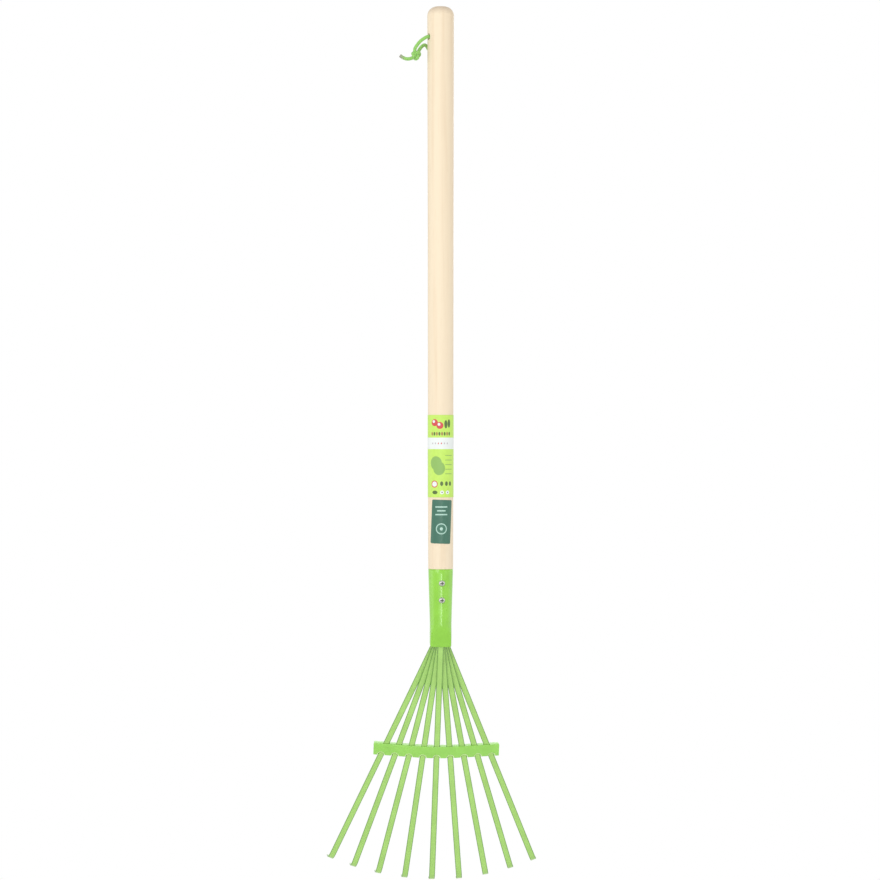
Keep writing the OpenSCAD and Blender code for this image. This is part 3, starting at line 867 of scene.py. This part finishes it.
class RAKE_OT_tines(bpy.types.Operator):
    """Bend the nine tines and spread them into the fan"""

    bl_idname = "rake.tines"
    bl_label = "Tines"

    def execute(self, context):
        _, _, fan, _, colours = settings()
        places = Fan()
        # The tines' narrow edges get painted shade
        paint = paint_material("tine_paint", colours.tine, colours.edge_shade)
        for k in range(1, TINES + 1):
            bm = moved(self.bent_strip(fan), places.tine_frame(k - 1 - SIDE_TINES))
            dress(mesh_object(f"tine_{k}", bm), paint, "green_paint", f"tine_{k}", crease=60.0)
        return {"FINISHED"}

    def bent_strip(self, fan):
        """One tine in its own frame: root, straight, hook, tip and round end."""
        bm = bmesh.new()
        half = fan.tine_t / 2
        # Marks the narrow edges, which the paint darkens as painted shade
        mark = bm.verts.layers.float.new(EDGE_SHADE_MARK)
        flat = fan.tine_w / 2 - half
        turns = [radians(degrees) for degrees in EDGE_TURNS]
        side = [(flat + half * cos(turn), half * sin(turn), 1.0) for turn in turns]
        section = side + [(flat - half, half, 0.0), (half - flat, half, 0.0)]
        section += [(-x, -y, m) for x, y, m in section]
        verts = [bm.verts.new((x, y, -fan.root_over)) for x, y, _ in section]
        for vert, (_, _, m) in zip(verts, section):
            vert[mark] = m
        straight = Matrix.Translation((0, 0, fan.root_over + fan.reach))
        face = extrude_on(bm, bm.faces.new(verts), straight)
        out = fan.hook_r + half
        centre = Matrix.Translation((0, -out, fan.reach))
        turn = centre @ Matrix.Rotation(fan.hook_turn / ARC_STEPS, 4, "X") @ centre.inverted()
        for _ in range(ARC_STEPS):
            face = extrude_on(bm, face, turn)
        end = centre @ Matrix.Rotation(fan.hook_turn, 4, "X") @ Matrix.Translation((0, out, 0))
        face = extrude_on(bm, face, end @ Matrix.Translation((0, 0, fan.tip_len)) @ end.inverted())
        went, width = 0.0, 1.0
        for degrees in END_TURNS:
            far, wide = fan.tine_w / 2 * sin(radians(degrees)), cos(radians(degrees))
            base = end @ Matrix.Translation((0, 0, fan.tip_len + went))
            narrow = Matrix.Diagonal((wide / width, 1.0, 1.0, 1.0))
            step = Matrix.Translation((0, 0, far - went)) @ narrow
            face = extrude_on(bm, face, base @ step @ base.inverted())
            went, width = far, wide
        return bm


def cone(bm, place, front_r, back_r, depth):
    """Adds a cone or cylinder that runs from the front to the back of a place."""
    bmesh.ops.create_cone(
        bm, cap_ends=True, segments=HOLE_STEPS, radius1=front_r, radius2=back_r, depth=depth,
        matrix=place @ Matrix.Rotation(pi / 2, 4, "X"),
    )


# Crossbar: radius of its folds in sheet thicknesses, and steps of a fold and of the bow
FOLD = 1.1
FOLD_STEPS = 6
BOW_STEPS = 80
# Notch rims: width of the bevel, how far its cutter runs past it,
# and the least that a rim faces the front and the notch's middle
RIM = 0.0007
RIM_OVER = 0.0001
RIM_FACING = 0.5


class RAKE_OT_crossbar(bpy.types.Operator):
    """Bend the slotted crossbar"""

    bl_idname = "rake.crossbar"
    bl_label = "Crossbar"

    def execute(self, context):
        _, _, fan, _, colours = settings()
        places = Fan()
        up, sheet, deep = fan.bar_h / 2, fan.bar_t, fan.bar_depth
        fold = FOLD * sheet
        turns = [pi / 2 * i / FOLD_STEPS for i in range(FOLD_STEPS + 1)]
        corner = [(fold - fold * cos(a), up - fold + fold * sin(a)) for a in turns]
        outside = [(deep, up)] + corner[::-1]
        outside += [(d, -h) for d, h in reversed(outside)]
        inside = [(deep, sheet - up), (sheet, sheet - up), (sheet, up - sheet), (deep, up - sheet)]
        section = outside + inside + outside[:1]
        last = len(section) - 1

        def place(u, v):
            depth, height = section[round(u * last)]
            return places.bow_place(2 * round(v * BOW_STEPS) / BOW_STEPS - 1, depth, height)

        bm = surface(last, BOW_STEPS, place)
        open_ends = [edge for edge in bm.edges if edge.is_boundary]
        bmesh.ops.holes_fill(bm, edges=open_ends, sides=0)
        obj = mesh_object("crossbar", bm)
        slots, arches, rims = bmesh.new(), bmesh.new(), bmesh.new()
        slot_w, slot_t = fan.tine_w + 2 * fan.slot_gap, fan.tine_t + 2 * fan.slot_gap
        size = Matrix.Diagonal((slot_w, slot_t, 2 * fan.bar_h, 1.0))
        arch = slot_w / 2
        bevel = Matrix.Translation((0, -RIM / 2, 0))
        for j in range(-SIDE_TINES, SIDE_TINES + 1):
            at, notch = places.tine_frame(j), places.notch_frame(j)
            middle = Matrix.Translation((0, 0, places.bar_at / cos(places.angle(j))))
            bmesh.ops.create_cube(slots, size=1.0, matrix=at @ middle @ size)
            lower = (places.bar_at + fan.bar_h / 2) / cos(places.angle(j))
            foot = Matrix.Translation((0, fan.bar_depth / 2, lower))
            cone(arches, at @ foot, arch, arch, fan.bar_depth)
            cone(rims, notch @ bevel, arch + RIM + RIM_OVER, arch - RIM_OVER, RIM + 2 * RIM_OVER)
        bar = cut(obj, slots, arches, rims)
        dress(bar, paint_material("bar_paint", colours.bar), "green_paint", "crossbar", crease=40.0)
        # The notch rims get a near-white paint: a painted highlight
        self.paint_rim_highlight(bar, paint_material("rim_paint", colours.rim), places, arch + RIM)
        return {"FINISHED"}

    def paint_rim_highlight(self, obj, material, places, reach):
        """Gives the bevelled rims of the notches a near-white paint of their own: a painted
        highlight.
        """
        obj.data.materials.append(material)
        for j in range(-SIDE_TINES, SIDE_TINES + 1):
            to_notch = places.notch_frame(j).inverted()
            for face in obj.data.polygons:
                x, y, z = to_notch @ face.center
                far = sqrt(x * x + z * z)
                normal = to_notch.to_3x3() @ face.normal
                inward = -(normal.x * x + normal.z * z) / far
                if far < reach and abs(y) < RIM and min(normal.y, inward) > RIM_FACING:
                    face.material_index = 1


def on_handle(turn, z, depth):
    """A point of the paper: turned from the front, at a height, with depth 0 inside and 1 outside."""
    handle = settings()[0]
    r = handle_r(z) + handle.paper_gap + depth * handle.paper_t
    return Vector((r * sin(turn), -r * cos(turn), z))


def thicken(bm):
    """Gives a flat sheet a second side, one unit higher."""
    new = bmesh.ops.extrude_face_region(bm, geom=bm.faces[:])["geom"]
    bmesh.ops.translate(bm, vec=(0, 0, 1), verts=corners(new))


# Paper: rows of the label, columns of the sticker and steps of the sticker's corners
LABEL_ROWS = 6
SEAL_COLUMNS = 24
SEAL_CORNER_STEPS = 4


class RAKE_OT_paper(bpy.types.Operator):
    """Wrap the label round the handle and stick the sticker under it"""

    bl_idname = "rake.paper"
    bl_label = "Label and sticker"

    def execute(self, context):
        handle, _, _, _, colours = settings()
        bm = surface(ROUND_STEPS, LABEL_ROWS, lambda u, v: Vector((u - 0.5, v, 0.0)))
        thicken(bm)
        for vert in bm.verts:
            turn = vert.co.x * (2 * pi - handle.label_open)
            vert.co = on_handle(turn, -handle.label_drop - vert.co.y * handle.label_h, vert.co.z)
        dress(mesh_object("wrap_label", bm), label_material(handle, colours), "label", "wrap_label")
        bm = bmesh.new()
        bmesh.ops.create_grid(bm, x_segments=1, y_segments=1, size=0.5)
        bmesh.ops.scale(bm, vec=(handle.seal_w, handle.seal_h, 1.0), verts=bm.verts)
        bmesh.ops.bevel(
            bm, geom=bm.verts[:], offset=handle.seal_corner, affect="VERTICES",
            segments=SEAL_CORNER_STEPS, profile=0.5, material=-1,
        )
        tilt = Matrix.Rotation(-handle.seal_tilt, 3, "Z")
        bmesh.ops.rotate(bm, cent=(0, 0, 0), matrix=tilt, verts=bm.verts)
        for i in range(1, SEAL_COLUMNS):
            x = handle.seal_w * (i / SEAL_COLUMNS - 0.5)
            whole = bm.verts[:] + bm.edges[:] + bm.faces[:]
            bmesh.ops.bisect_plane(bm, geom=whole, plane_co=(x, 0, 0), plane_no=(1, 0, 0))
        thicken(bm)
        for vert in bm.verts:
            z = seal_middle(handle) + vert.co.y
            turn = asin(vert.co.x / handle_r(z))
            vert.co = on_handle(turn + handle.seal_turn, z, vert.co.z)
        dress(mesh_object("seal_sticker", bm), seal_material(handle, colours), "seal", "seal_sticker")
        return {"FINISHED"}


# The cord's route in millimetres: from its cut tail to the knot,
# then through the hole, down behind the handle and back to the knot
CORD_TAIL = (
    (-37.6, -3.8, 194.6), (-34.6, -3.6, 192.6), (-31.4, -3.2, 191.6),
    (-28.2, -2.8, 191.9), (-25.2, -2.2, 193.4),
)
CORD_LOOP = (
    (-24, -2.8, 198), (-23.8, -4, 200.7), (-21.6, -5.2, 204.4), (-18.6, -5.7, 207.8),
    (-15.2, -5.4, 210.3), (-12.4, -4.6, 211.8), (-8.5, -3.1, 212), (3, 1.1, 212),
    (6.2, 2.3, 212), (8.1, 3.4, 212), (9.6, 5.1, 212), (10.4, 7.2, 211.9),
    (10.4, 9.4, 211.4), (9.6, 11.4, 210), (8.6, 13.2, 207.4), (7.7, 14.5, 203.5),
    (7, 14.8, 198), (6.6, 14.4, 190), (6.5, 14, 180), (6.5, 14, 169),
    (6.5, 14, 158), (5.6, 14, 154.6), (3.4, 14, 152.2), (0, 14, 151.4),
    (-3.4, 14, 152.2), (-5.6, 14, 154.6), (-6.5, 14, 158), (-6.5, 14, 169),
    (-6.6, 14, 180), (-7.4, 14.4, 190), (-8.6, 14.1, 198.2), (-11, 12.2, 203.6),
    (-14, 8.6, 206), (-17.4, 4.8, 203.8), (-21.2, 0.4, 197.5),
)
# Length of the singed end, and the knot's middle, in millimetres
SINGED = 5.0
KNOT = (-22.6, -1.8, 195.2)
# Knot: steps along its strand, the strand's share of the cord's thickness,
# how its width and its depth divide what the strand leaves, and a small step along it
KNOT_RINGS = 72
KNOT_STRAND = 0.95
KNOT_WIDE = 3
KNOT_DEEP = 1.6
KNOT_STEP = 0.001


class RAKE_OT_cord(bpy.types.Operator):
    """Thread the hanging cord and tie its knot"""

    bl_idname = "rake.cord"
    bl_label = "Cord"

    def execute(self, context):
        handle, _, _, cord, colours = settings()
        weave = cord_material(colours)
        route = [Vector(p) * MM for p in CORD_TAIL + CORD_LOOP]
        curve = bpy.data.curves.new("hang_cord", "CURVE")
        curve.dimensions = "3D"
        curve.bevel_depth = cord.cord_d / 2
        curve.bevel_resolution = 4
        curve.resolution_u = 6
        curve.use_fill_caps = True
        spline = curve.splines.new("BEZIER")
        spline.bezier_points.add(len(route) - 1)
        for point, co in zip(spline.bezier_points, route):
            point.co = co
            point.handle_left_type = point.handle_right_type = "AUTO"
        line = bpy.data.objects.new("hang_cord", curve)
        bpy.context.collection.objects.link(line)
        dress(line, weave, "green_cord", "hang_cord")
        knot = mesh_object("cord_knot", self.knot_body(cord))
        tied = dress(knot, weave, "green_cord", "cord_knot", crease=80.0)
        run = sum((b - a).length for a, b in zip(route, route[1:]))
        out = handle.top_d / 2
        exit_point = (
            -out * cos(handle.hole_turn), -out * sin(handle.hole_turn), handle.rise - handle.hole_drop
        )
        return {"FINISHED"}

    def knot_body(self, cord):
        """The knot as one closed strand that winds over and under itself."""
        strand = cord.cord_d / 2 * KNOT_STRAND
        wide = (cord.knot_r - strand) / KNOT_WIDE
        deep = (cord.knot_r - strand) / KNOT_DEEP

        def middle(t):
            x, y = sin(t) + 2 * sin(2 * t), cos(t) - 2 * cos(2 * t)
            return Vector((wide * x, wide * y, -deep * sin(3 * t)))

        def place(u, v):
            t = 2 * pi * round(v * KNOT_RINGS) / KNOT_RINGS
            turn = 2 * pi * round(u * ARC_STEPS) / ARC_STEPS
            way = (middle(t + KNOT_STEP) - middle(t - KNOT_STEP)).normalized()
            side = way.cross(Vector((0, 0, 1))).normalized()
            return middle(t) + strand * (cos(turn) * side + sin(turn) * way.cross(side))

        at = Matrix.Translation(Vector(KNOT) * MM) @ Matrix.Rotation(pi / 2, 4, "X")
        return moved(surface(ARC_STEPS, KNOT_RINGS, place), at)


# Studio lights: name, place, width, height and power; all face one point
LIGHTS = (
    ("key", (-1.6, -2.2, 0.9), 1.6, 1.6, 22.6),
    ("fill", (1.9, -1.8, 0.2), 1.6, 1.6, 6.1),
    ("top", (0.0, -0.4, 1.9), 1.4, 1.4, 5.2),
    ("low", (-0.3, -1.9, -0.45), 1.0, 1.0, 3.5),
    ("rear", (0.6, 2.0, 0.8), 1.6, 1.6, 14.0),
    ("left", (-2.4, 0.2, -0.1), 1.6, 1.6, 7.0),
    ("right", (2.4, 0.2, -0.1), 1.6, 1.6, 4.4),
    ("strip", (0.23, -2.9, -0.78), 0.4, 0.9, 12.0),
)
LIGHT_AIM = (0.0, 0.0, -0.15)
# Strength of the background for its light
WORLD_LIGHT = 0.7
# Floor: radius, middle and colour
FLOOR_R = 1.4
FLOOR_PLACE = (0.0, 0.04, -0.6)
FLOOR_GREY = (0.85, 0.85, 0.85)
WHITE = (1.0, 1.0, 1.0)
# Camera: distance, width seen at the rake, turn about it in degrees, shift across and height
CAMERA_DISTANCE = 2.5
CAMERA_SEEN = 0.8078
CAMERA_TURN = -3.3
CAMERA_SHIFT = -0.0006
CAMERA_Z = -0.1576
SENSOR = 36.0


class RAKE_OT_stage(bpy.types.Operator):
    """Set the floor, the lights, the white background and the camera"""

    bl_idname = "rake.stage"
    bl_label = "Stage"

    def execute(self, context):
        scene = context.scene
        scene.view_settings.view_transform = "Standard"
        self.background(scene)
        self.floor()
        for light in LIGHTS:
            self.light(*light)
        self.camera(scene)
        return {"FINISHED"}

    def background(self, scene):
        """A white world for the camera and for reflections, and a dimmer one for its light."""
        nodes = Nodes("studio", "worlds")
        scene.world = nodes.owner
        ground = nodes.tree.nodes["Background"].inputs
        nodes.put(ground["Color"], WHITE)
        nodes.put(ground["Strength"], nodes.span(nodes.seen(), low=WORLD_LIGHT, high=1.0))

    def floor(self):
        """A pale floor under the tips, white to the camera and in reflections."""
        bm = bmesh.new()
        bmesh.ops.create_circle(bm, cap_ends=True, segments=ROUND_STEPS, radius=FLOOR_R)
        bmesh.ops.translate(bm, vec=FLOOR_PLACE, verts=bm.verts)
        obj = mesh_object("floor", bm)
        nodes = Nodes("floor")
        obj.data.materials.append(nodes.shade(Base_Color=FLOOR_GREY, Roughness=0.9))
        white = nodes.add("ShaderNodeEmission", [("Color", WHITE), ("Strength", 1.0)]).outputs[0]
        lit = nodes.tree.nodes["Principled BSDF"].outputs[0]
        mixed = nodes.add("ShaderNodeMixShader", enumerate((nodes.seen(), lit, white))).outputs[0]
        nodes.put(nodes.tree.nodes["Material Output"].inputs["Surface"], mixed)

    def light(self, name, place, width, height, power):
        """A soft light that faces the middle of the rake."""
        data = bpy.data.lights.new(name, "AREA")
        data.shape = "RECTANGLE"
        data.size = width
        data.size_y = height
        data.energy = power
        obj = bpy.data.objects.new(name, data)
        obj.location = place
        aim = Vector(LIGHT_AIM) - obj.location
        obj.rotation_euler = aim.to_track_quat("-Z", "Y").to_euler()
        bpy.context.collection.objects.link(obj)

    def camera(self, scene):
        """A long lens, level with the middle of the rake."""
        data = bpy.data.cameras.new("camera")
        data.sensor_width = SENSOR
        data.lens = data.sensor_width * CAMERA_DISTANCE / CAMERA_SEEN
        data.dof.use_dof = False
        obj = bpy.data.objects.new("camera", data)
        turn = radians(CAMERA_TURN)
        across = CAMERA_DISTANCE * sin(turn) + CAMERA_SHIFT
        obj.location = (across, -CAMERA_DISTANCE * cos(turn), CAMERA_Z)
        obj.rotation_euler = (pi / 2, 0.0, turn)
        bpy.context.collection.objects.link(obj)
        scene.camera = obj


class RAKE_PT_panel(bpy.types.Panel):
    """Lists the steps that build the rake"""

    bl_idname = "RAKE_PT_panel"
    bl_label = "Fan Rake"
    bl_space_type = "VIEW_3D"
    bl_region_type = "UI"
    bl_category = "Rake"

    def draw(self, context):
        for step in STEPS:
            self.layout.operator(step.bl_idname)


GROUPS = (
    ("rake_handle", RakeHandle),
    ("rake_socket", RakeSocket),
    ("rake_fan", RakeFan),
    ("rake_cord", RakeCord),
    ("rake_colours", RakeColours),
)
STEPS = (
    RAKE_OT_handle,
    RAKE_OT_socket,
    RAKE_OT_screws,
    RAKE_OT_tines,
    RAKE_OT_crossbar,
    RAKE_OT_paper,
    RAKE_OT_cord,
    RAKE_OT_stage,
)


def register():
    """Adds the settings, the steps and the panel."""
    for name, group in GROUPS:
        bpy.utils.register_class(group)
        setattr(bpy.types.Scene, name, bpy.props.PointerProperty(type=group))
    for step in (*STEPS, RAKE_PT_panel):
        bpy.utils.register_class(step)


def unregister():
    """Takes the settings, the steps and the panel away."""
    for step in (RAKE_PT_panel, *reversed(STEPS)):
        bpy.utils.unregister_class(step)
    for name, group in reversed(GROUPS):
        delattr(bpy.types.Scene, name)
        bpy.utils.unregister_class(group)


def main():
    """Builds the rake and its stage."""
    register()
    bpy.ops.rake.handle()
    bpy.ops.rake.socket()
    bpy.ops.rake.screws()
    bpy.ops.rake.tines()
    bpy.ops.rake.crossbar()
    bpy.ops.rake.paper()
    bpy.ops.rake.cord()
    bpy.ops.rake.stage()
    bpy.context.view_layer.update()


if __name__ == "__main__":
    main()
